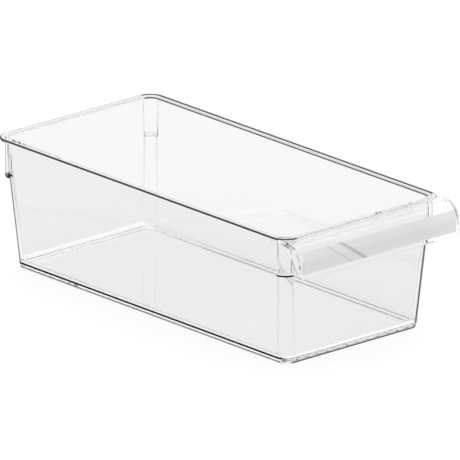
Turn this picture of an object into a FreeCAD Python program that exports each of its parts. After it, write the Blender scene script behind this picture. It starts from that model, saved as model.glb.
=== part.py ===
import FreeCAD, Part

import math
import os

import Sketcher

# Fridge bin: one clear injection moulding. It is designed whole, as two bodies that meet at the rim's
# front edge (the shell and the handle), and then divided into named regions that meet face to face.
# Millimetres. +Z up, +Y towards the rear, the handle at -Y, and the origin under the centre of the
# outside box, on the surface that the bin stands on.

DIMENSIONS = {
    # Outside box
    "overall_length": 336.0,
    "overall_width": 155.0,
    "overall_height": 100.0,
    # Shell
    "wall_thickness": 2.5,
    "corner_radius": 9.5,
    "wall_lean": 7.3,  # how far each wall leans in between the rim and the foot
    "cove_radius": 6.0,
    # Rim, a flat flange turned outwards
    "rim_overhang": 3.9,
    "rim_thickness": 2.2,
    # Stacking shoulders in the upper corners
    "shoulder_drop": 30.5,
    # Foot and floor
    "foot_height": 3.0,
    "foot_inset": 0.8,
    "foot_width": 4.0,
    "floor_thickness": 2.5,
    # Handle, curled over the front of the rim
    "handle_reach": 17.0,
    "handle_step": 0.6,  # how far its top stands below the rim's top
    "handle_bend": 13.5,
    "handle_drop": 25.4,
    "handle_thickness": 2.6,
    "handle_corner": 4.0,  # radius of the grip's lower corners, seen from the front
    "cheek_thickness": 2.5,
    "cheek_reach": 8.0,  # where the cheek's free edge turns, in front of the rim
    "cheek_depth": 13.0,  # and below the rim's top
    # How far a dividing region reaches past the moulding
    "margin": 20.0,
}


def cell(alias):
    return f"dimensions.{alias}"


# Sizes worked out from the sheet's cells, as expressions
RIM_HALF_X = f"({cell('overall_width')} / 2)"
RIM_HALF_Y = f"(({cell('overall_length')} - {cell('handle_reach')}) / 2)"
CENTRE_Y = f"({cell('handle_reach')} / 2)"
RIM_FRONT = f"({RIM_HALF_Y} - {CENTRE_Y})"  # distance in front of the origin
HANDLE_FRONT = f"({cell('overall_length')} / 2)"  # distance in front of the origin
TOP = cell("overall_height")
RIM_UNDERSIDE = f"({TOP} - {cell('rim_thickness')})"
HOOD_TOP = f"({TOP} - {cell('handle_step')})"
LEDGE = f"({TOP} - {cell('shoulder_drop')})"
FLOOR_TOP = cell("foot_height")
RIM_RADIUS = f"({cell('corner_radius')} + {cell('rim_overhang')})"
INNER_RADIUS = f"({cell('corner_radius')} - {cell('wall_thickness')})"
FOOT_INSET = f"({cell('rim_overhang')} + {cell('wall_lean')} + {cell('foot_inset')})"
MARGIN = cell("margin")

CORNERS = {
    "front_left": (-1, -1),
    "front_right": (1, -1),
    "rear_left": (-1, 1),
    "rear_right": (1, 1),
}


def wall_inset(height):
    """How far the walls' outer face stands inside the rim's edge at a height."""
    rise = f"({RIM_UNDERSIDE} - {FLOOR_TOP})"
    return f"({cell('rim_overhang')} + {cell('wall_lean')} * ({RIM_UNDERSIDE} - {height}) / {rise})"


def corner_centre(height):
    """The x and y distances from the rim's centre to the centre of the wall's corner arcs."""
    inset = f"({wall_inset(height)} + {cell('corner_radius')})"
    return f"({RIM_HALF_X} - {inset})", f"({RIM_HALF_Y} - {inset})"


def make_sheet(doc):
    sheet = doc.addObject("Spreadsheet::Sheet", "dimensions")
    for row, (alias, value) in enumerate(DIMENSIONS.items(), start=1):
        sheet.set(f"A{row}", alias)
        sheet.set(f"B{row}", str(value))
        sheet.setAlias(f"B{row}", alias)
    doc.recompute()
    return sheet


def number(sheet, expression):
    """The present value of an expression."""
    result = sheet.evalExpression(expression)
    return float(getattr(result, "Value", result))


def bind(item, **expressions):
    """Sets an object's properties by expression; a double underscore in a name stands for a dot."""
    for name, expression in expressions.items():
        item.setExpression(name.replace("__", "."), expression)
    return item


# Sketches


def add_sketch(body, name, role, height=None):
    """A sketch on one of the body's own origin planes, raised along its normal."""
    sketch = body.newObject("Sketcher::SketchObject", name)
    plane = next(feature for feature in body.Origin.OriginFeatures if feature.Role == role)
    sketch.AttachmentSupport = [(plane, "")]
    sketch.MapMode = "FlatFace"
    if height is not None:
        bind(sketch, AttachmentOffset__Base__z=height)
    return sketch


def dimension(sheet, sketch, kind, *places, size):
    """Adds a dimension to a sketch, bound to an expression."""
    index = sketch.addConstraint(Sketcher.Constraint(kind, *places, number(sheet, size)))
    sketch.setExpression(f"Constraints[{index}]", size)


def chain(sketch, geometry, smooth=(), backward=()):
    """Draws a closed outline. smooth lists the pieces that run on tangent into the next one, and
    backward the arcs that the outline follows clockwise."""
    sketch.addGeometry(geometry, False)
    count = len(geometry)
    for i in range(count):
        after = (i + 1) % count
        kind = "Tangent" if i in smooth else "Coincident"
        leave = 1 if i in backward else 2
        enter = 2 if after in backward else 1
        sketch.addConstraint(Sketcher.Constraint(kind, i, leave, after, enter))


def line(start, end):
    return Part.LineSegment(FreeCAD.Vector(*start, 0), FreeCAD.Vector(*end, 0))


def arc(centre, radius, start_angle, end_angle):
    """A counter-clockwise arc, with its angles in degrees."""
    circle = Part.Circle(FreeCAD.Vector(*centre, 0), FreeCAD.Vector(0, 0, 1), radius)
    return Part.ArcOfCircle(circle, math.radians(start_angle), math.radians(end_angle))


def rounded_rectangle(sheet, sketch, half_x, half_y, radius):
    """The outline of the bin at one height, centred on the rim's centre."""
    middle = number(sheet, CENTRE_Y)
    x = number(sheet, half_x)
    front = middle - number(sheet, half_y)
    rear = middle + number(sheet, half_y)
    r = number(sheet, radius)
    outline = [
        line((-x + r, front), (x - r, front)),
        arc((x - r, front + r), r, -90, 0),
        line((x, front + r), (x, rear - r)),
        arc((x - r, rear - r), r, 0, 90),
        line((x - r, rear), (-x + r, rear)),
        arc((-x + r, rear - r), r, 90, 180),
        line((-x, rear - r), (-x, front + r)),
        arc((-x + r, front + r), r, 180, 270),
    ]
    chain(sketch, outline, smooth=range(8))
    sketch.addConstraint(Sketcher.Constraint("Horizontal", 4))
    for side in (2, 6):
        sketch.addConstraint(Sketcher.Constraint("Vertical", side))
    for corner in (3, 5, 7):
        sketch.addConstraint(Sketcher.Constraint("Equal", 1, corner))
    sketch.addConstraint(Sketcher.Constraint("Symmetric", 0, 1, 0, 2, -2))
    dimension(sheet, sketch, "Radius", 1, size=radius)
    dimension(sheet, sketch, "DistanceX", 6, 1, 2, 1, size=f"2 * {half_x}")
    dimension(sheet, sketch, "DistanceY", 0, 1, 4, 1, size=f"2 * {half_y}")
    dimension(sheet, sketch, "DistanceY", -1, 1, 4, 1, size=f"{half_y} + {CENTRE_Y}")


def inset_section(sheet, body, name, inset, radius, height=None):
    """The bin's outline at a height, a given distance inside the rim's edge."""
    sketch = add_sketch(body, name, "XY_Plane", height)
    half_x = f"({RIM_HALF_X} - {inset})"
    half_y = f"({RIM_HALF_Y} - {inset})"
    rounded_rectangle(sheet, sketch, half_x, half_y, radius)
    return sketch


# The shell: foot, floor, leaning walls, shoulders and rim


def add_loft(body, kind, name, lower, upper):
    loft = body.newObject(kind, name)
    loft.Profile = lower
    loft.Sections = [upper]
    loft.Ruled = True
    return loft


def add_pad(body, name, sketch, length):
    pad = body.newObject("PartDesign::Pad", name)
    pad.Profile = sketch
    return bind(pad, Length=length)


def add_corner_columns(body, kind, name, radius, bottom, height):
    """A quarter-round column in each corner, upright under the corners of the rim."""
    centre_x, centre_y = corner_centre(RIM_UNDERSIDE)
    for corner, (side, end) in CORNERS.items():
        column = body.newObject(kind, f"{corner}_{name}_column")
        column.Angle = 90
        turn = {(1, 1): 0, (-1, 1): 90, (-1, -1): 180, (1, -1): 270}[(side, end)]
        column.Placement.Rotation = FreeCAD.Rotation(FreeCAD.Vector(0, 0, 1), turn)
        bind(
            column,
            Radius=radius,
            Height=height,
            Placement__Base__x=f"{side} * {centre_x}",
            Placement__Base__y=f"{CENTRE_Y} + {end} * {centre_y}",
            Placement__Base__z=bottom,
        )


def floor_edges(sheet, shape):
    """Names of the edges where the cavity's walls meet the floor."""
    level = number(sheet, FLOOR_TOP)
    inset = f"({wall_inset(FLOOR_TOP)} + {cell('wall_thickness')})"
    half_x = number(sheet, f"{RIM_HALF_X} - {inset}")
    front = number(sheet, f"{CENTRE_Y} - {RIM_HALF_Y} + {inset}")
    rear = number(sheet, f"{CENTRE_Y} + {RIM_HALF_Y} - {inset}")
    slack = 1e-3
    floor = FreeCAD.BoundBox(-half_x, front, level, half_x, rear, level)
    floor.enlarge(slack)
    return [f"Edge{i}" for i, edge in enumerate(shape.Edges, start=1) if floor.isInside(edge.BoundBox)]


def make_shell(doc, sheet):
    body = doc.addObject("PartDesign::Body", "shell")
    wall = cell("wall_thickness")
    foot_radius = f"({cell('corner_radius')} - {cell('foot_inset')})"

    foot_outline = inset_section(sheet, body, "foot_outline", FOOT_INSET, foot_radius)
    add_pad(body, "foot", foot_outline, FLOOR_TOP)

    heights = {"base": FLOOR_TOP, "neck": RIM_UNDERSIDE}
    sections = [
        inset_section(sheet, body, f"{name}_outline", wall_inset(height), cell("corner_radius"), height)
        for name, height in heights.items()
    ]
    add_loft(body, "PartDesign::AdditiveLoft", "walls", *sections)

    rim_outline = inset_section(sheet, body, "rim_outline", "0", RIM_RADIUS, RIM_UNDERSIDE)
    add_pad(body, "rim", rim_outline, cell("rim_thickness"))

    rise = f"{RIM_UNDERSIDE} - {LEDGE}"
    add_corner_columns(
        body, "PartDesign::AdditiveCylinder", "shoulder", cell("corner_radius"), LEDGE, rise
    )

    heights = {"cavity_floor": FLOOR_TOP, "cavity_mouth": TOP}
    sections = [
        inset_section(
            sheet, body, name, f"({wall_inset(height)} + {wall})", INNER_RADIUS, height
        )
        for name, height in heights.items()
    ]
    add_loft(body, "PartDesign::SubtractiveLoft", "cavity", *sections)

    recess_floor = f"{LEDGE} + {wall}"
    rise = f"{TOP} - {LEDGE} - {wall}"
    add_corner_columns(
        body, "PartDesign::SubtractiveCylinder", "recess", INNER_RADIUS, recess_floor, rise
    )
    doc.recompute()

    hollowed = body.Tip
    cove = body.newObject("PartDesign::Fillet", "cove")
    cove.Base = (hollowed, floor_edges(sheet, hollowed.Shape))
    bind(cove, Radius=cell("cove_radius"))

    hollow_inset = f"({FOOT_INSET} + {cell('foot_width')})"
    hollow_radius = f"({foot_radius} - {cell('foot_width')})"
    hollow_outline = inset_section(sheet, body, "hollow_outline", hollow_inset, hollow_radius)
    hollow = body.newObject("PartDesign::Pocket", "foot_hollow")
    hollow.Profile = hollow_outline
    hollow.Reversed = True
    bind(hollow, Length=f"{FLOOR_TOP} - {cell('floor_thickness')}")
    doc.recompute()
    return body


# The handle: a shelf level with the rim, bent down to a grip, and closed by a cheek at each end


def handle_places(sheet):
    """Present positions on the handle's side view: y is negative towards the front."""
    return {
        "front": -number(sheet, HANDLE_FRONT),
        "rim": -number(sheet, RIM_FRONT),
        "root": -number(sheet, f"{RIM_FRONT} - {RIM_RADIUS}"),
        "top": number(sheet, HOOD_TOP),
        "bend": number(sheet, cell("handle_bend")),
        "thick": number(sheet, cell("handle_thickness")),
        "low": number(sheet, f"{HOOD_TOP} - {cell('handle_drop')}"),
        "rim_underside": number(sheet, RIM_UNDERSIDE),
    }


def outer_handle_curve(at):
    """Top of the shelf, outside of the bend, front of the grip and its rounded lower edge."""
    bend_y = at["front"] + at["bend"]
    bend_z = at["top"] - at["bend"]
    round_z = at["low"] + at["thick"] / 2
    return [
        line((at["root"], at["top"]), (bend_y, at["top"])),
        arc((bend_y, bend_z), at["bend"], 90, 180),
        line((at["front"], bend_z), (at["front"], round_z)),
        arc((at["front"] + at["thick"] / 2, round_z), at["thick"] / 2, 180, 360),
    ]


def size_outer_curve(sheet, sketch, root):
    """Constrains the four pieces of outer_handle_curve; root is the index of the upright root line."""
    sketch.addConstraint(Sketcher.Constraint("Horizontal", 0))
    sketch.addConstraint(Sketcher.Constraint("Vertical", 2))
    sketch.addConstraint(Sketcher.Constraint("Vertical", root))
    dimension(sheet, sketch, "DistanceY", -1, 1, 0, 1, size=HOOD_TOP)
    dimension(sheet, sketch, "DistanceX", 0, 1, -1, 1, size=f"{RIM_FRONT} - {RIM_RADIUS}")
    dimension(sheet, sketch, "DistanceX", 2, 1, -1, 1, size=HANDLE_FRONT)
    dimension(sheet, sketch, "Radius", 1, size=cell("handle_bend"))
    dimension(sheet, sketch, "Radius", 3, size=f"{cell('handle_thickness')} / 2")
    round_centre = f"{HOOD_TOP} - {cell('handle_drop')} + {cell('handle_thickness')} / 2"
    dimension(sheet, sketch, "DistanceY", -1, 1, 3, 3, size=round_centre)


def hood_profile(sheet, body):
    """Side view of the curled plate."""
    at = handle_places(sheet)
    sketch = add_sketch(body, "hood_profile", "YZ_Plane")
    inside = at["front"] + at["thick"]
    bend_y = at["front"] + at["bend"]
    bend_z = at["top"] - at["bend"]
    under = at["top"] - at["thick"]
    outline = outer_handle_curve(at) + [
        line((inside, at["low"] + at["thick"] / 2), (inside, bend_z)),
        arc((bend_y, bend_z), at["bend"] - at["thick"], 90, 180),
        line((bend_y, under), (at["root"], under)),
        line((at["root"], under), (at["root"], at["top"])),
    ]
    chain(sketch, outline, smooth=range(6), backward=[5])
    size_outer_curve(sheet, sketch, root=7)
    sketch.addConstraint(Sketcher.Constraint("Vertical", 4))
    sketch.addConstraint(Sketcher.Constraint("Coincident", 1, 3, 5, 3))
    return sketch


def cheek_profile(sheet, body, name, offset):
    """Side view of an end cheek: the hood's outer curve, closed by a free edge that runs from the
    grip's lower edge up to the underside of the rim."""
    at = handle_places(sheet)
    sketch = add_sketch(body, name, "YZ_Plane", offset)
    reach = number(sheet, cell("cheek_reach"))
    depth = number(sheet, cell("cheek_depth"))
    under = at["rim_underside"]
    turn = (at["rim"] - reach, number(sheet, TOP) - depth)
    heel = (at["rim"], under)
    outline = outer_handle_curve(at) + [
        line((at["front"] + at["thick"], at["low"] + at["thick"] / 2), turn),
        line(turn, heel),
        line(heel, (at["root"], under)),
        line((at["root"], under), (at["root"], at["top"])),
    ]
    chain(sketch, outline, smooth=range(3))
    size_outer_curve(sheet, sketch, root=7)
    sketch.addConstraint(Sketcher.Constraint("Horizontal", 3, 2, 3, 3))
    sketch.addConstraint(Sketcher.Constraint("Horizontal", 6))
    dimension(sheet, sketch, "DistanceX", 4, 2, -1, 1, size=f"{RIM_FRONT} + {cell('cheek_reach')}")
    dimension(sheet, sketch, "DistanceY", -1, 1, 4, 2, size=f"{TOP} - {cell('cheek_depth')}")
    dimension(sheet, sketch, "DistanceX", 5, 2, -1, 1, size=RIM_FRONT)
    dimension(sheet, sketch, "DistanceY", -1, 1, 5, 2, size=RIM_UNDERSIDE)
    return sketch


def grip_corner_profile(sheet, body, name, side):
    """Front view of what is trimmed off one lower corner of the grip; side is -1 or 1."""
    edge = number(sheet, RIM_HALF_X)
    low = number(sheet, f"{HOOD_TOP} - {cell('handle_drop')}")
    r = number(sheet, cell("handle_corner"))
    sketch = add_sketch(body, name, "XZ_Plane")
    upright = line((side * edge, low + r), (side * edge, low))
    level = line((side * edge, low), (side * (edge - r), low))
    start_angle = 270 if side > 0 else 180
    trim = arc((side * (edge - r), low + r), r, start_angle, start_angle + 90)
    chain(sketch, [upright, level, trim], backward=[] if side > 0 else [2])
    sketch.addConstraint(Sketcher.Constraint("Vertical", 0))
    sketch.addConstraint(Sketcher.Constraint("Horizontal", 1))
    sketch.addConstraint(Sketcher.Constraint("Vertical", 2, 3, 1, 2))
    sketch.addConstraint(Sketcher.Constraint("Horizontal", 2, 3, 0, 1))
    ends = (-1, 1, 0, 1) if side > 0 else (0, 1, -1, 1)
    dimension(sheet, sketch, "DistanceX", *ends, size=RIM_HALF_X)
    dimension(sheet, sketch, "DistanceY", -1, 1, 0, 2, size=f"{HOOD_TOP} - {cell('handle_drop')}")
    dimension(sheet, sketch, "Radius", 2, size=cell("handle_corner"))
    return sketch


def make_handle(doc, sheet):
    body = doc.addObject("PartDesign::Body", "handle")
    hood = add_pad(body, "hood", hood_profile(sheet, body), cell("overall_width"))
    hood.Midplane = True

    offsets = {"left": f"-{RIM_HALF_X}", "right": f"{RIM_HALF_X} - {cell('cheek_thickness')}"}
    for name, offset in offsets.items():
        profile = cheek_profile(sheet, body, f"{name}_cheek_profile", offset)
        add_pad(body, f"{name}_cheek_plate", profile, cell("cheek_thickness"))

    rim_outline = inset_section(sheet, body, "rim_seat_outline", "0", RIM_RADIUS, TOP)
    rim_seat = body.newObject("PartDesign::Pocket", "rim_seat")
    rim_seat.Profile = rim_outline
    bind(rim_seat, Length=f"{cell('handle_thickness')} + {MARGIN}")

    for name, side in (("left", -1), ("right", 1)):
        trim = body.newObject("PartDesign::Pocket", f"{name}_grip_corner")
        trim.Profile = grip_corner_profile(sheet, body, f"{name}_grip_corner_profile", side)
        trim.Reversed = True
        bind(trim, Length=cell("overall_length"))
    doc.recompute()
    return body


# The regions that the moulding is divided into


def add_region(doc, name, low, high, low_plan, high_plan):
    """A block from height low to height high. A plan is (x from, x to, y from, y to), and the block
    tapers from low_plan to high_plan. A wedge tapers along its own Y, so it is turned upright."""
    block = doc.addObject("Part::Wedge", f"{name}_region")
    block.Placement.Rotation = FreeCAD.Rotation(FreeCAD.Vector(1, 0, 0), 90)
    bind(
        block,
        Ymin=low,
        Ymax=high,
        Xmin=low_plan[0],
        Xmax=low_plan[1],
        Zmin=f"-({low_plan[3]})",
        Zmax=f"-({low_plan[2]})",
        X2min=high_plan[0],
        X2max=high_plan[1],
        Z2min=f"-({high_plan[3]})",
        Z2max=f"-({high_plan[2]})",
    )
    return block


def take(doc, name, body, low, high, low_plan, high_plan=None):
    """A named piece of the moulding: what of body lies in a region."""
    piece = doc.addObject("Part::Common", name)
    piece.Label = name
    piece.Base = body
    piece.Tool = add_region(doc, name, low, high, low_plan, high_plan or low_plan)
    return piece


FAR_X = f"({RIM_HALF_X} + {MARGIN})"
FAR_Y = f"({RIM_HALF_Y} + {MARGIN})"


def around_centre(side, end, inner_x, inner_y):
    """The plan outside inner_x and inner_y, on one side and at one end of the rim's centre. A side
    or end of 0 is the stretch between -inner and inner."""
    spans = {
        -1: lambda inner, far: (f"-{far}", f"-{inner}"),
        0: lambda inner, far: (f"-{inner}", inner),
        1: lambda inner, far: (inner, far),
    }
    x_from, x_to = spans[side](inner_x, FAR_X)
    y_from, y_to = spans[end](inner_y, FAR_Y)
    return x_from, x_to, f"{CENTRE_Y} + {y_from}", f"{CENTRE_Y} + {y_to}"


SIDES = {"left": (-1, 0), "right": (1, 0), "front": (0, -1), "rear": (0, 1)}
COVE_TOP = f"({FLOOR_TOP} + {cell('cove_radius')})"
WALL_BANDS = {"cove": (FLOOR_TOP, COVE_TOP), "wall": (COVE_TOP, RIM_UNDERSIDE)}
CORNER_BANDS = {
    "corner_cove": (FLOOR_TOP, COVE_TOP),
    "corner": (COVE_TOP, LEDGE),
    "shoulder": (LEDGE, RIM_UNDERSIDE),
}


def divide_band(doc, shell, name, place, band):
    """The stretch of the leaning walls on one side or in one corner, between two heights. Its ends
    follow the line where the flat wall runs into the rounded corner."""
    plans = [around_centre(*place, *corner_centre(height)) for height in band]
    return take(doc, name, shell, *band, *plans)


def divide_shell(doc, shell):
    floor_inset = f"({FOOT_INSET} + {cell('foot_width')})"
    floor_x = f"({RIM_HALF_X} - {floor_inset})"
    floor_y = f"({RIM_HALF_Y} - {floor_inset})"
    rim_x = f"({RIM_HALF_X} - {RIM_RADIUS})"
    rim_y = f"({RIM_HALF_Y} - {RIM_RADIUS})"
    floor_band = (f"-{MARGIN}", FLOOR_TOP)
    rim_band = (RIM_UNDERSIDE, f"{TOP} + {MARGIN}")

    floor_plan = around_centre(0, 0, floor_x, floor_y)
    pieces = [take(doc, "floor_panel", shell, *floor_band, floor_plan)]
    for name, (side, end) in SIDES.items():
        foot_plan = around_centre(side, end, floor_x if side else FAR_X, floor_y)
        pieces.append(take(doc, f"{name}_foot", shell, *floor_band, foot_plan))
        for region, band in WALL_BANDS.items():
            pieces.append(divide_band(doc, shell, f"{name}_{region}", (side, end), band))
    for name, place in CORNERS.items():
        for region, band in CORNER_BANDS.items():
            pieces.append(divide_band(doc, shell, f"{name}_{region}", place, band))
    rim_places = SIDES | {f"{name}_corner": place for name, place in CORNERS.items()}
    for name, place in rim_places.items():
        rim_plan = around_centre(*place, rim_x, rim_y)
        pieces.append(take(doc, f"{name}_rim", shell, *rim_band, rim_plan))
    return pieces


def divide_handle(doc, handle):
    pieces = []
    between = f"({RIM_HALF_X} - {cell('cheek_thickness')})"
    low = f"{HOOD_TOP} - {cell('handle_drop')} - {MARGIN}"
    high = f"{TOP} + {MARGIN}"
    bend_low = f"{HOOD_TOP} - {cell('handle_bend')}"
    front = f"-({HANDLE_FRONT} + {MARGIN})"
    bend_start = f"-({HANDLE_FRONT} - {cell('handle_bend')})"
    root = f"-({RIM_FRONT} - {RIM_RADIUS} - {MARGIN})"
    middle = (f"-{between}", between)
    pieces.append(take(doc, "handle_shelf", handle, low, high, (*middle, bend_start, root)))
    pieces.append(take(doc, "handle_bend", handle, bend_low, high, (*middle, front, bend_start)))
    pieces.append(take(doc, "handle_grip", handle, low, bend_low, (*middle, front, bend_start)))
    for name, span in (("left", (f"-{FAR_X}", f"-{between}")), ("right", (between, FAR_X))):
        pieces.append(take(doc, f"handle_{name}_cheek", handle, low, high, (*span, front, root)))
    return pieces


def check(doc, pieces):
    """Stops before anything is written if a feature failed or a piece isn't one sound solid."""
    for item in doc.Objects:
        if {"Invalid", "Error"} & set(item.State):
            raise RuntimeError(f"{item.Label}: {item.getStatusString()}")
    for piece in pieces:
        shape = piece.Shape
        if shape.isNull() or not shape.isValid() or len(shape.Solids) != 1:
            raise RuntimeError(f"{piece.Label}: {len(shape.Solids)} solids")


def main():
    doc = FreeCAD.newDocument("fridge_bin")
    sheet = make_sheet(doc)
    shell = make_shell(doc, sheet)
    handle = make_handle(doc, sheet)
    pieces = divide_shell(doc, shell) + divide_handle(doc, handle)
    doc.recompute()
    check(doc, pieces)

    whole = shell.Shape.Volume + handle.Shape.Volume
    divided = sum(piece.Shape.Volume for piece in pieces)
    print(f"moulding {whole:.1f} mm3, divided {divided:.1f} mm3, pieces {len(pieces)}")
    if abs(whole - divided) > 1e-4 * whole:
        raise RuntimeError("the regions don't cover the moulding exactly once")

    os.makedirs("parts", exist_ok=True)
    for piece in pieces:
        piece.Shape.exportStep(os.path.join("parts", f"{piece.Label}.step"))


main()
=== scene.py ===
import math

import bmesh
import bpy
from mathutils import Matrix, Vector


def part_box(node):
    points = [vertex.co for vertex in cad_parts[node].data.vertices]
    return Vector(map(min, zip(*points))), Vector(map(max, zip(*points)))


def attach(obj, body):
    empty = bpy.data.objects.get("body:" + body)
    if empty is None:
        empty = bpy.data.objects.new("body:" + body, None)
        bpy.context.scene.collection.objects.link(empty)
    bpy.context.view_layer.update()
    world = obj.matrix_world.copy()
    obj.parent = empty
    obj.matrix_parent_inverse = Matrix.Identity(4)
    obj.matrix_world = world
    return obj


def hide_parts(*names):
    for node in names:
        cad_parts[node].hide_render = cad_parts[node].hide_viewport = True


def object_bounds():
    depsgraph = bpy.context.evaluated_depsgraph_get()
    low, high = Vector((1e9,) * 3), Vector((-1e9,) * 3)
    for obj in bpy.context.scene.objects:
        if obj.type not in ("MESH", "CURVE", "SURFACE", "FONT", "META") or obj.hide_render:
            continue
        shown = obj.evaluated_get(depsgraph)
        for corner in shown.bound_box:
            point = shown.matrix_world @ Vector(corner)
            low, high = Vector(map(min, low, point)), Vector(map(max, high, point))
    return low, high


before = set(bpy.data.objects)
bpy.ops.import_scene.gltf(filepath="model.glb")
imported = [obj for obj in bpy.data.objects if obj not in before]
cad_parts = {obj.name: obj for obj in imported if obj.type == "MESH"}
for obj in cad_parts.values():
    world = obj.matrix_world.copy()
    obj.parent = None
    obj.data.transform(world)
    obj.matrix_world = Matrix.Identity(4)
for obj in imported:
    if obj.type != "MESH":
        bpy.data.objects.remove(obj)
CAD_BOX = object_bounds()

MM = 0.001  # the shapes below are worked out in millimetres


# ------------------------------------------------------------ sizes, read from the frame


def node_box(node):
    low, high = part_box(node)
    return low / MM, high / MM


rim = node_box("rear_rim")
rim_corner = node_box("rear_left_corner_rim")
wall = node_box("rear_wall")
cove = node_box("rear_cove")
shoulder = node_box("rear_left_shoulder")
foot = node_box("rear_foot")
grip = node_box("handle_grip")
bend = node_box("handle_bend")
cheek = node_box("handle_left_cheek")
front_rim = node_box("front_rim")

TOP = CAD_BOX[1].z / MM
HALF_X = CAD_BOX[1].x / MM
REAR = CAD_BOX[1].y / MM
HANDLE_FRONT = CAD_BOX[0].y / MM
RIM_FRONT = front_rim[0].y
MIDDLE = (REAR + RIM_FRONT) / 2
HALF_Y = (REAR - RIM_FRONT) / 2
NECK = rim[0].z
FOOT_TOP = foot[1].z
LEDGE = shoulder[0].z
COVE = cove[1].z - cove[0].z
RIM_RADIUS = rim_corner[1].x - rim_corner[0].x
INSET_NECK = REAR - wall[1].y
FOOT_INSET = REAR - foot[1].y
FOOT_WIDTH = foot[1].y - foot[0].y
HOOD_TOP = bend[1].z
HOOD_THICK = grip[1].y - grip[0].y
HOOD_BEND = bend[1].y - bend[0].y
GRIP_LOW = grip[0].z
CHEEK_THICK = cheek[1].x - cheek[0].x

WALL = 2.5
INSET_FOOT = FOOT_INSET - 0.8  # of the walls' outer face, where the foot begins
WALL_RADIUS = RIM_RADIUS - INSET_NECK
WALL_LEAN = (INSET_FOOT - INSET_NECK) / (NECK - FOOT_TOP)
UNDERSIDE = 0.5  # height of the floor's lower face, inside the foot
SIDE_ROUND = 2.2  # rounding of the handle's two ends
GRIP_CORNER = 4.0  # rounding of the grip's two lower corners
HOOD_X = HALF_X - 0.04  # half the handle's width


def wall_inset(z):
    """How far the walls' outer face stands inside the rim's edge."""
    return INSET_NECK + WALL_LEAN * (NECK - z)


def wall_centre(z):
    """How far the centre of the corner arcs stands inside the rim's edge."""
    return wall_inset(min(max(z, FOOT_TOP), TOP)) + WALL_RADIUS


# ------------------------------------------------------------ outlines with rounded corners


def rounded(points):
    """Rounds an outline of (inset, height, centre, radius, steps); the ends stay as they are."""
    out = [points[0][:3]]
    for before, here, after in zip(points, points[1:], points[2:]):
        inset, z, centre, radius, steps = here
        corner = Vector((inset, z))
        back = (Vector(before[:2]) - corner).normalized()
        ahead = (Vector(after[:2]) - corner).normalized()
        turn = back.angle(ahead)
        if turn > math.radians(175):  # nearly straight: evenly spaced points, with no arc
            for i in range(steps + 1):
                p = corner + back * 0.3 + (ahead - back) * 0.3 * i / steps
                out.append((p.x, p.y, centre))
            continue
        middle = corner + (back + ahead).normalized() * radius / math.sin(turn / 2)
        start = corner + back * radius / math.tan(turn / 2) - middle
        end = corner + ahead * radius / math.tan(turn / 2) - middle
        sweep = start.angle_signed(end)
        for i in range(steps + 1):
            a = -sweep * i / steps
            x = start.x * math.cos(a) - start.y * math.sin(a)
            y = start.x * math.sin(a) + start.y * math.cos(a)
            out.append((middle.x + x, middle.y + y, centre))
    out.append(points[-1][:3])
    return out


def shell_outline(in_corner):
    """The shell's section from the underside of the floor, over the rim, to the top of the floor.

    The corners have a shoulder and a ledge that the flat walls lack. Both outlines have the same number
    of points, so that they can be joined.
    """
    c_foot = wall_centre(FOOT_TOP)
    c_rim = RIM_RADIUS
    recess = LEDGE + WALL
    low = [
        (FOOT_INSET + FOOT_WIDTH + 0.4, UNDERSIDE, c_foot),
        (FOOT_INSET + FOOT_WIDTH, UNDERSIDE, c_foot, 0.2, 2),
        (FOOT_INSET + FOOT_WIDTH, 0, c_foot, 0.2, 2),
        (FOOT_INSET, 0, c_foot, 0.6, 7),
        (FOOT_INSET, FOOT_TOP, c_foot, 0.4, 5),
        (INSET_FOOT, FOOT_TOP, c_foot, 0.35, 5),
    ]
    if in_corner:
        outer = [
            (wall_inset(LEDGE), LEDGE, wall_centre(LEDGE), 0.4, 5),
            (INSET_NECK, LEDGE, c_rim, 0.7, 7),
            (INSET_NECK, NECK, c_rim, 0.5, 6),
        ]
        inner = [
            (INSET_NECK + WALL, TOP, c_rim, 0.9, 9),
            (INSET_NECK + WALL, recess, c_rim, 0.6, 6),
            (wall_inset(recess) + WALL, recess, wall_centre(recess), 0.6, 6),
        ]
    else:
        outer = [
            (wall_inset(LEDGE - 0.5), LEDGE - 0.5, c_rim, 0, 5),
            (wall_inset(LEDGE + 0.5), LEDGE + 0.5, c_rim, 0, 7),
            (INSET_NECK, NECK, c_rim, 0.5, 6),
        ]
        inner = [
            (wall_inset(TOP) + WALL, TOP, c_rim, 0.9, 9),
            (wall_inset(recess + 0.5) + WALL, recess + 0.5, c_rim, 0, 6),
            (wall_inset(recess - 0.5) + WALL, recess - 0.5, c_rim, 0, 6),
        ]
    edge = [(0, NECK, c_rim, 0.6, 7), (0, TOP, c_rim, 0.9, 9)]
    bottom = [
        (wall_inset(FOOT_TOP) + WALL, FOOT_TOP, c_foot, COVE - 0.05, 9),
        (wall_inset(FOOT_TOP) + WALL + COVE + 0.3, FOOT_TOP, c_foot),
    ]
    return rounded(low + outer + edge + inner + bottom)


# ------------------------------------------------------------ the shell


TURN = [0, 5] + [5 + 80 * i / 14 for i in range(1, 14)] + [85, 90]  # degrees through a corner
CORNERS = [(1, 1, 0), (-1, 1, 90), (-1, -1, 180), (1, -1, 270)]  # side, end and first angle


def plan_point(side, end, angle, inset, centre):
    """A point of a corner's arc, seen from above."""
    x = side * (HALF_X - centre) + (centre - inset) * math.cos(angle)
    y = MIDDLE + end * (HALF_Y - centre) + (centre - inset) * math.sin(angle)
    return x, y


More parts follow.
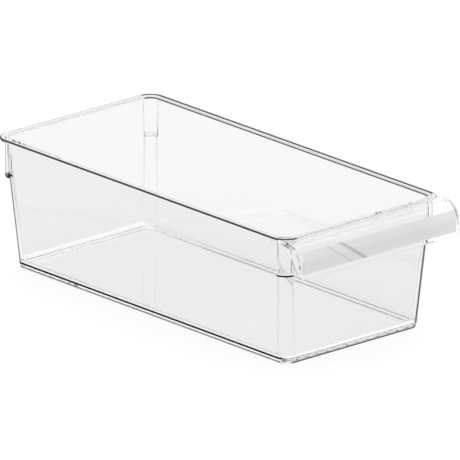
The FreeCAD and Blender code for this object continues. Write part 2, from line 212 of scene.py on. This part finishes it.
def shell_mesh():
    """Rings round the bin, one for each point of the outlines."""
    mesh = bmesh.new()
    rings = []
    for on_flat, in_corner in zip(shell_outline(False), shell_outline(True), strict=True):
        same = all(abs(a - b) < 1e-6 for a, b in zip(on_flat[:2], in_corner[:2]))
        ring = []
        for side, end, first in CORNERS:
            for degrees in TURN:
                inset, z, centre = on_flat if degrees in (0, 90) else in_corner
                if same:
                    centre = in_corner[2]
                x, y = plan_point(side, end, math.radians(first + degrees), inset, centre)
                ring.append(mesh.verts.new((x * MM, y * MM, z * MM)))
        rings.append(ring)
    for lower, upper in zip(rings, rings[1:]):
        for j in range(len(lower)):
            mesh.faces.new((lower[j - 1], lower[j], upper[j], upper[j - 1]))
    mesh.faces.new(list(reversed(rings[0])))
    mesh.faces.new(rings[-1])
    return mesh


# ------------------------------------------------------------ the handle


def hood_section(low, cheeked, root):
    """Paired points down the hood: its outer face, and its inner face or the cheek's free edge."""
    bend_y = HANDLE_FRONT + HOOD_BEND
    bend_z = HOOD_TOP - HOOD_BEND
    pairs = [((y, HOOD_TOP), (y, HOOD_TOP - HOOD_THICK)) for y in (root, bend_y + 1.5)]
    steps = 20
    for i in range(steps + 1):
        a = math.radians(90 + 90 * i / steps)
        radii = (HOOD_BEND, HOOD_BEND - HOOD_THICK)
        pairs.append(tuple((bend_y + r * math.cos(a), bend_z + r * math.sin(a)) for r in radii))
    half = HOOD_THICK / 2
    for i in range(1, 7):
        z = bend_z + (low + half - bend_z) * i / 6
        pairs.append(((HANDLE_FRONT, z), (HANDLE_FRONT + HOOD_THICK, z)))
    if cheeked:
        free = [
            (root, HOOD_TOP - HOOD_THICK),
            (RIM_FRONT - 0.5, HOOD_TOP - HOOD_THICK),
            (RIM_FRONT - 4.6, HOOD_TOP - 6.6),
            (RIM_FRONT - 8.0, TOP - 13.0),
            (RIM_FRONT - 11.2, TOP - 18.6),
            (HANDLE_FRONT + HOOD_THICK, low + half),
        ]
        curve = smooth_path(free, len(pairs))
        pairs = [(outer, inner) for (outer, _), inner in zip(pairs, curve)]
    mid_y = HANDLE_FRONT + half
    for i in range(1, 5):
        a = math.radians(22.5 * i)
        y, z = half * math.cos(a), low + half - half * math.sin(a)
        pairs.append(((mid_y - y, z), (mid_y + y, z)))
    return pairs


def smooth_path(points, count):
    """Points spread evenly along a Catmull-Rom curve through the given ones."""
    dense = []
    for i in range(len(points) - 1):
        p0 = Vector(points[max(i - 1, 0)])
        p1, p2 = Vector(points[i]), Vector(points[i + 1])
        p3 = Vector(points[min(i + 2, len(points) - 1)])
        for j in range(20):
            t = j / 20
            dense.append(
                0.5
                * (
                    2 * p1
                    + (p2 - p0) * t
                    + (2 * p0 - 5 * p1 + 4 * p2 - p3) * t * t
                    + (3 * p1 - p0 - 3 * p2 + p3) * t * t * t
                )
            )
    dense.append(Vector(points[-1]))
    lengths = [0]  # along the curve
    for a, b in zip(dense, dense[1:]):
        lengths.append(lengths[-1] + (b - a).length)
    out = []
    k = 0
    for i in range(count):
        want = lengths[-1] * i / (count - 1)
        while k < len(dense) - 2 and lengths[k + 1] < want:
            k += 1
        f = (want - lengths[k]) / (lengths[k + 1] - lengths[k])
        out.append(tuple(dense[k].lerp(dense[k + 1], min(max(f, 0), 1))))
    return out


def hood_root(x):
    """How far back the hood reaches into the rim at a distance from the middle."""
    inset = 3.0
    radius = RIM_RADIUS - inset
    over = abs(x) - (HALF_X - RIM_RADIUS)
    if over <= 0:
        return RIM_FRONT + inset
    if over < radius:
        return RIM_FRONT + RIM_RADIUS - math.sqrt(radius**2 - over**2)
    return RIM_FRONT + RIM_RADIUS + 1.0


def hood_stations():
    """(x, is it in a cheek, how far the outer face is drawn in) from the middle out to the right side."""
    inner = HALF_X - CHEEK_THICK
    places = (0, 40, 60, 64.1, 66, 68, 70, 71.5, 72.8, 73.5, 74, 74.4, 74.7, inner)
    out = [(x, False, 0) for x in places] + [(inner, True, 0)]
    for i in range(9):
        a = math.radians(90 - 90 * i / 8)
        x = HOOD_X - SIDE_ROUND + SIDE_ROUND * math.cos(a)
        out.append((x, True, SIDE_ROUND * (1 - math.sin(a))))
    return out


def hood_mesh():
    """The handle: a shelf that bends down into the grip, with a cheek at each end."""
    mesh = bmesh.new()
    half = hood_stations()
    stations = [(-x, c, d) for x, c, d in reversed(half[1:])] + half
    rows = []
    for x, cheeked, drawn in stations:
        dx = min(HOOD_X - abs(x), GRIP_CORNER)
        rise = GRIP_CORNER - math.sqrt(GRIP_CORNER**2 - (GRIP_CORNER - dx) ** 2)
        pairs = hood_section(GRIP_LOW + rise, cheeked, hood_root(x))
        outer = [Vector(o) for o, _ in pairs]
        inner = [Vector(i) for _, i in pairs]
        if drawn > 0:
            moved = []
            last = len(outer) - 1
            for i, p in enumerate(outer):
                along = (outer[min(i + 1, last)] - outer[max(i - 1, 0)]).normalized()
                inward = Vector((-along.y, along.x))
                reach = min(drawn, 0.45 * (p - inner[i]).length) if i > last - 4 else drawn
                moved.append(p + inward * reach)
            outer = moved
        row_o = [mesh.verts.new((x * MM, p.x * MM, p.y * MM)) for p in outer]
        row_i = [mesh.verts.new((x * MM, p.x * MM, p.y * MM)) for p in inner]
        rows.append((row_o, row_i))
    for (a_o, a_i), (b_o, b_i) in zip(rows, rows[1:]):
        for i in range(len(a_o) - 1):
            mesh.faces.new((a_o[i], a_o[i + 1], b_o[i + 1], b_o[i]))
            mesh.faces.new((a_i[i + 1], a_i[i], b_i[i], b_i[i + 1]))
        mesh.faces.new((a_i[0], a_o[0], b_o[0], b_i[0]))
        mesh.faces.new((a_o[-1], a_i[-1], b_i[-1], b_o[-1]))
    for (row_o, row_i), flip in ((rows[0], False), (rows[-1], True)):
        for i in range(len(row_o) - 1):
            face = [row_o[i], row_i[i], row_i[i + 1], row_o[i + 1]]
            mesh.faces.new(list(reversed(face)) if flip else face)
    bmesh.ops.remove_doubles(mesh, verts=mesh.verts[:], dist=2e-6)
    bmesh.ops.recalc_face_normals(mesh, faces=mesh.faces[:])
    return mesh


def make_object(name, mesh):
    data = bpy.data.meshes.new(name)
    mesh.to_mesh(data)
    mesh.free()
    obj = bpy.data.objects.new(name, data)
    bpy.context.scene.collection.objects.link(obj)
    return obj


def join_solids(first, second):
    """One closed mesh of both solids."""
    modifier = first.modifiers.new("join", "BOOLEAN")
    modifier.operation = "UNION"
    modifier.solver = "EXACT"
    modifier.object = second
    depsgraph = bpy.context.evaluated_depsgraph_get()
    joined = bpy.data.meshes.new_from_object(first.evaluated_get(depsgraph))
    first.modifiers.clear()
    first.data = joined
    bpy.data.objects.remove(second)
    return first


shell = make_object("clear_bin", shell_mesh())
hood = make_object("hood", hood_mesh())
bin_piece = join_solids(shell, hood)  # one moulding, with no seam inside the clear plastic

work = bmesh.new()
work.from_mesh(bin_piece.data)
bmesh.ops.remove_doubles(work, verts=work.verts[:], dist=1e-6)
bmesh.ops.dissolve_degenerate(work, edges=work.edges[:], dist=1e-6)
bmesh.ops.recalc_face_normals(work, faces=work.faces[:])
work.to_mesh(bin_piece.data)
work.free()
for polygon in bin_piece.data.polygons:
    polygon.use_smooth = True
bin_piece.data.set_sharp_from_angle(angle=math.radians(32))
weighted = bin_piece.modifiers.new("normals", "WEIGHTED_NORMAL")
weighted.keep_sharp = True
weighted.weight = 100

# ------------------------------------------------------------ material


class Nodes:
    """Small helpers for writing a node tree as arithmetic."""

    def __init__(self, tree):
        self.tree = tree

    def add(self, kind, **settings):
        node = self.tree.nodes.new(kind)
        for name, value in settings.items():
            setattr(node, name, value)
        return node

    def feed(self, socket, value):
        """Sets a socket to a plain value, or links an output to it."""
        if isinstance(value, bpy.types.NodeSocket):
            self.tree.links.new(value, socket)
        else:
            socket.default_value = value

    def math(self, operation, first, second=None):
        node = self.add("ShaderNodeMath", operation=operation)
        for socket, value in zip(node.inputs, (first, second)):
            if value is not None:
                self.feed(socket, value)
        return node.outputs[0]

    def rise(self, value, start, end):
        """0 below start, 1 above end, smooth between (or the reverse when end is below start)."""
        node = self.add("ShaderNodeMapRange", interpolation_type="SMOOTHSTEP")
        flip = end < start
        node.inputs["From Min"].default_value = min(start, end)
        node.inputs["From Max"].default_value = max(start, end)
        node.inputs["To Min"].default_value = 1 if flip else 0
        node.inputs["To Max"].default_value = 0 if flip else 1
        self.tree.links.new(value, node.inputs["Value"])
        return node.outputs["Result"]

    def band(self, value, low, high, soft):
        """1 between low and high, 0 outside, with soft edges."""
        rising = self.rise(value, low - soft, low + soft)
        return self.math("MULTIPLY", rising, self.rise(value, high + soft, high - soft))

    def both(self, *masks):
        """Where all the masks hold."""
        out = masks[0]
        for mask in masks[1:]:
            out = self.math("MULTIPLY", out, mask)
        return out

    def squares(self, a, b):
        return self.math("ADD", self.math("MULTIPLY", a, a), self.math("MULTIPLY", b, b))

    def inset(self, across, along):
        """How far a place lies inside the rim's rounded outline."""
        over_x = self.math("SUBTRACT", across, HALF_X - RIM_RADIUS)
        over_y = self.math("SUBTRACT", along, HALF_Y - RIM_RADIUS)
        far_x = self.math("MAXIMUM", over_x, 0.0)
        far_y = self.math("MAXIMUM", over_y, 0.0)
        squares = self.squares(far_x, far_y)
        inner = self.math("MINIMUM", self.math("MAXIMUM", over_x, over_y), 0.0)
        reach = self.math("ADD", self.math("SQRT", squares), inner)
        return self.math("SUBTRACT", RIM_RADIUS, reach)

    def corner_place(self, across, along, z):
        """Distance from the leaning axis each wall corner turns about, and how far into the turn."""
        drop = self.math("MULTIPLY", self.math("SUBTRACT", NECK, z), WALL_LEAN)
        shift_x = self.math("SUBTRACT", across, HALF_X - RIM_RADIUS)
        shift_y = self.math("SUBTRACT", along, HALF_Y - RIM_RADIUS)
        out_x = self.math("MAXIMUM", self.math("ADD", shift_x, drop), 0.0)
        out_y = self.math("MAXIMUM", self.math("ADD", shift_y, drop), 0.0)
        squares = self.squares(out_x, out_y)
        return self.math("SQRT", squares), self.math("MINIMUM", out_x, out_y)

    def blend(self, mask, below, above):
        """Mixes two colours: the first where the mask is 0, the second where it is 1."""
        node = self.add("ShaderNodeMix", data_type="RGBA")
        for socket, value in ((node.inputs[0], mask), (node.inputs[6], below), (node.inputs[7], above)):
            self.feed(socket, value)
        return node.outputs[2]

    def noise(self, place, scale, detail):
        node = self.add("ShaderNodeTexNoise")
        node.inputs["Scale"].default_value = scale
        node.inputs["Detail"].default_value = detail
        self.tree.links.new(place, node.inputs["Vector"])
        return node.outputs["Fac"]


def grey(value):
    return (value, value, value, 1)


BODY_TINT = 0.9
FLOOR_TINT = 0.99
HOOD_TINT = 0.98
# the grip band's grey is partly a painted reflection, its stripes' grey is painted reflection, and BLACK
# is the colour of the painted shade below
SATIN_TINT_AND_REFLECTION = 0.74
PAINTED_STRIPE_REFLECTION_TINT = 0.5
BLACK = 0.0

# the satin band on the grip's front, rough, with a grey tint that is partly a painted reflection, and the
# two slanting stripes across it, painted reflections
SATIN_HALF_LENGTH = 73.4
SATIN_BOTTOM = GRIP_LOW + 3.9
STRIPE_SLOPE = 1.42
PAINTED_REFLECTION_STRIPES = ((94.5, 99.0), (83.2, 84.6))


def clear_plastic():
    """Clear plastic, with painted shade as dark edge lines, a satin band on the grip whose grey and
    stripes are painted reflections, and a painted highlight glowing along the coves.
    """
    material = bpy.data.materials.new("clear_plastic")
    material.use_nodes = True
    tree = material.node_tree
    nodes = Nodes(tree)
    shader = tree.nodes["Principled BSDF"]
    shader.inputs["IOR"].default_value = 1.5
    shader.inputs["Transmission Weight"].default_value = 1.0

    place = nodes.add("ShaderNodeTexCoord").outputs["Object"]
    scaled = nodes.add("ShaderNodeVectorMath", operation="SCALE")
    scaled.inputs["Scale"].default_value = 1 / MM
    tree.links.new(place, scaled.inputs[0])
    axes = nodes.add("ShaderNodeSeparateXYZ")
    tree.links.new(scaled.outputs[0], axes.inputs[0])
    x, y, z = axes.outputs
    across = nodes.math("ABSOLUTE", x)
    along = nodes.math("ABSOLUTE", nodes.math("SUBTRACT", y, MIDDLE))
    inset = nodes.inset(across, along)
    radius, turned = nodes.corner_place(across, along, z)
    facing = nodes.add("ShaderNodeLayerWeight").outputs["Facing"]
    left = nodes.rise(x, 20, -20)
    right = nodes.both(nodes.rise(x, -20, 20), nodes.rise(y, RIM_FRONT + 7, RIM_FRONT + 11))
    front = nodes.rise(y, RIM_FRONT + 30, RIM_FRONT + 10)
    rear = nodes.rise(y, REAR - 30, REAR - 10)
    sides = nodes.rise(across, HALF_X - RIM_RADIUS - 0.5, HALF_X - RIM_RADIUS + 1.5)
    ends = nodes.rise(across, HALF_X - RIM_RADIUS + 1.5, HALF_X - RIM_RADIUS - 0.5)
    corner = nodes.both(
        nodes.rise(across, HALF_X - 22, HALF_X - 20),
        nodes.rise(along, HALF_Y - 22, HALF_Y - 20),
        nodes.rise(turned, 1.5, 2.5),
    )
    body = nodes.rise(y, RIM_FRONT, RIM_FRONT + 1)
    hood = nodes.rise(y, RIM_FRONT - 1, RIM_FRONT - 2)
    rim_face = nodes.rise(z, TOP - 0.6, TOP - 0.4)
    outer = nodes.rise(radius, 8.3, 8.9)
    ledge = nodes.both(corner, outer, nodes.band(z, LEDGE - 0.4, LEDGE + 1.5, 0.1))
    low_side = nodes.rise(across, HALF_X - FOOT_INSET - 0.6, HALF_X - FOOT_INSET - 0.3)
    low_front = nodes.both(front, nodes.rise(along, HALF_Y - FOOT_INSET - 0.5, HALF_Y - FOOT_INSET - 0.2))
    inner_edge = nodes.both(nodes.band(inset, 5.4, 6.8, 0.2), nodes.band(z, TOP - 1.9, TOP - 0.7, 0.2))
    painted_shade_lines = (  # how dark, and the masks that place each line of painted shade: rim, foot, then ledges
        (0.95, sides, left, nodes.band(inset, -0.3, 1.1, 0.2), nodes.rise(z, TOP - 1.3, TOP - 0.9)),
        (0.95, sides, right, nodes.band(inset, 1.5, 4.0, 0.3), rim_face),
        (0.85, sides, right, inner_edge),
        (0.3, ends, rear, nodes.band(inset, -0.3, 3.6, 0.2), nodes.rise(z, TOP - 0.9, TOP - 0.6)),
        (1.0, left, low_side, nodes.band(z, FOOT_TOP + 0.6, FOOT_TOP + 2.2, 0.2)),
        (0.85, left, low_side, nodes.band(z, 0.8, 1.9, 0.3)),
        (0.95, low_front, nodes.rise(z, 1.6, 1.2)),
        (1.0, left, ledge),
        (0.1, ledge),
    )
    # painted shade: dark lines painted along the rim, the foot and the ledges, where the clear edges show
    # only shade
    painted_edge_shade = 0.0
    for strength, *masks in painted_shade_lines:
        painted_edge_shade = nodes.math("MAXIMUM", painted_edge_shade, nodes.math("MULTIPLY", nodes.both(*masks), strength))

    # painted shade: at a grazing angle Layer Weight turns the curved corners and the handle's ends dark;
    # this tints only what passes through
    lower = nodes.both(nodes.rise(z, LEDGE - 0.3, LEDGE - 1.0), nodes.rise(facing, 0.2, 0.45))
    upper = nodes.both(nodes.band(z, LEDGE - 0.3, NECK - 0.6, 0.3), nodes.rise(facing, 0.55, 0.8))
    posts = nodes.both(corner, body, outer, nodes.math("MAXIMUM", lower, upper))
    hood_ends = nodes.both(hood, nodes.rise(across, HALF_X - 3, HALF_X - 2), nodes.rise(facing, 0.55, 0.8))
    painted_grazing_shade = nodes.math("MAXIMUM", posts, hood_ends)

    # the grip band: a rough finish, and its grey tint is partly a painted reflection
    satin_and_painted_reflection = nodes.both(
        nodes.rise(y, HANDLE_FRONT + 2.7, HANDLE_FRONT + 2.5),
        nodes.rise(z, SATIN_BOTTOM - 0.2, SATIN_BOTTOM + 0.2),
        nodes.rise(across, SATIN_HALF_LENGTH + 0.2, SATIN_HALF_LENGTH - 0.2),
    )
    # two slanting stripes of painted reflection across the grip band
    slant = nodes.math("ADD", x, nodes.math("MULTIPLY", z, STRIPE_SLOPE))
    painted_stripe_reflection = nodes.math("MAXIMUM", *(nodes.band(slant, low, high, 0.4) for low, high in PAINTED_REFLECTION_STRIPES))
    # the floor slab takes a lighter tint than the walls, painted light that lifts the shade under the bin
    tint = nodes.blend(nodes.rise(z, FOOT_TOP + 1.5, FOOT_TOP + 0.5), grey(BODY_TINT), grey(FLOOR_TINT))
    tint = nodes.blend(hood, tint, grey(HOOD_TINT))
    tint = nodes.blend(satin_and_painted_reflection, tint, nodes.blend(painted_stripe_reflection, grey(SATIN_TINT_AND_REFLECTION), grey(PAINTED_STRIPE_REFLECTION_TINT)))
    # the painted grazing shade turns the tint black at the corner posts and the handle's ends
    tint = nodes.blend(painted_grazing_shade, tint, grey(BLACK))
    # the painted edge shade turns the tint black
    tint = nodes.blend(painted_edge_shade, tint, grey(BLACK))
    tree.links.new(tint, shader.inputs["Base Color"])
    # the painted edge shade and the grip band let less light through
    shade_and_satin_cover = nodes.math("MAXIMUM", painted_edge_shade, nodes.math("MULTIPLY", satin_and_painted_reflection, 0.75))
    tree.links.new(nodes.math("SUBTRACT", 1.0, shade_and_satin_cover), shader.inputs["Transmission Weight"])
    # the painted edge shade has no gloss
    gloss = nodes.math("MULTIPLY", nodes.math("SUBTRACT", 1.0, painted_edge_shade), 0.5)
    tree.links.new(gloss, shader.inputs["Specular IOR Level"])

    cove_start = HALF_Y - INSET_FOOT - WALL - COVE
    # a painted highlight: the inside of the coves glows faintly white along a line
    painted_cove_highlight = nodes.both(
        nodes.rise(along, cove_start - 1, cove_start),
        nodes.rise(across, HALF_X - 16, HALF_X - 19),
        nodes.band(z, FOOT_TOP + 1.6, FOOT_TOP + 3.6, 0.5),
    )
    shader.inputs["Emission Color"].default_value = grey(1.0)
    tree.links.new(nodes.math("MULTIPLY", painted_cove_highlight, 0.15), shader.inputs["Emission Strength"])

    haze = nodes.math("MULTIPLY", nodes.noise(place, 6, 3), 0.01)
    rough = nodes.math("ADD", haze, nodes.math("MULTIPLY", satin_and_painted_reflection, 0.4))
    tree.links.new(rough, shader.inputs["Roughness"])

    bump = nodes.add("ShaderNodeBump")  # the slight waviness of a moulded wall
    bump.inputs["Strength"].default_value = 0.04
    bump.inputs["Distance"].default_value = 0.0004
    tree.links.new(nodes.noise(place, 9, 1), bump.inputs["Height"])
    tree.links.new(bump.outputs["Normal"], shader.inputs["Normal"])
    return material


bin_piece.data.materials.clear()
bin_piece.data.materials.append(clear_plastic())
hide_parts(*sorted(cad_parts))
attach(bin_piece, "root")

# ------------------------------------------------------------ floor, world and camera

VIEW_WIDTH = 0.333188  # metres that the frame spans at the object
SENSOR = 36
AZIMUTH = math.radians(-41.583)
ELEVATION = math.radians(18.842)
DISTANCE = 15.0

floor_mesh = bmesh.new()
bmesh.ops.create_grid(floor_mesh, x_segments=4, y_segments=4, size=30)
floor = make_object("floor", floor_mesh)
floor.location.z = -0.0002  # just clear of the foot
floor_paint = bpy.data.materials.new("floor_paint")
floor_paint.use_nodes = True
paint = floor_paint.node_tree.nodes["Principled BSDF"]
paint.inputs["Base Color"].default_value = grey(0.14)
paint.inputs["Roughness"].default_value = 0.9
paint.inputs["Emission Color"].default_value = grey(1.0)
paint.inputs["Emission Strength"].default_value = 0.85
floor.data.materials.append(floor_paint)

world = bpy.data.worlds.new("studio")
bpy.context.scene.world = world
world.use_nodes = True
backdrop = world.node_tree.nodes["Background"]
backdrop.inputs["Color"].default_value = grey(1.0)
backdrop.inputs["Strength"].default_value = 1.0

lamp_data = bpy.data.lights.new("overhead", "AREA")
lamp_data.shape = "RECTANGLE"
lamp_data.size = 1.6
lamp_data.size_y = 1.0
lamp_data.energy = 5
lamp = bpy.data.objects.new("overhead", lamp_data)
bpy.context.scene.collection.objects.link(lamp)
lamp.location = (0.5, 0.3, 1.6)
lamp.rotation_euler = (-lamp.location).to_track_quat("-Z", "Y").to_euler()

scene = bpy.context.scene
scene.view_settings.view_transform = "Standard"
# light runs a long way inside the clear floor and walls, and too few bounces darken them
scene.cycles.max_bounces = 64
scene.cycles.transmission_bounces = 64
scene.cycles.glossy_bounces = 64

level = Vector((-math.sin(AZIMUTH), math.cos(AZIMUTH), 0))
ahead = level * math.cos(ELEVATION) - Vector((0, 0, math.sin(ELEVATION)))
right = Vector((math.cos(AZIMUTH), math.sin(AZIMUTH), 0))
up = right.cross(ahead)
centre = Vector((0, 0, 0.05)) + right * 0.0035 + up * 0.0027
camera_data = bpy.data.cameras.new("camera")
camera_data.sensor_width = SENSOR
camera_data.lens = SENSOR * DISTANCE / VIEW_WIDTH
camera_data.clip_end = 100
camera = bpy.data.objects.new("camera", camera_data)
scene.collection.objects.link(camera)
camera.rotation_euler = ahead.to_track_quat("-Z", "Y").to_euler()
camera.location = centre - ahead * DISTANCE
scene.camera = camera
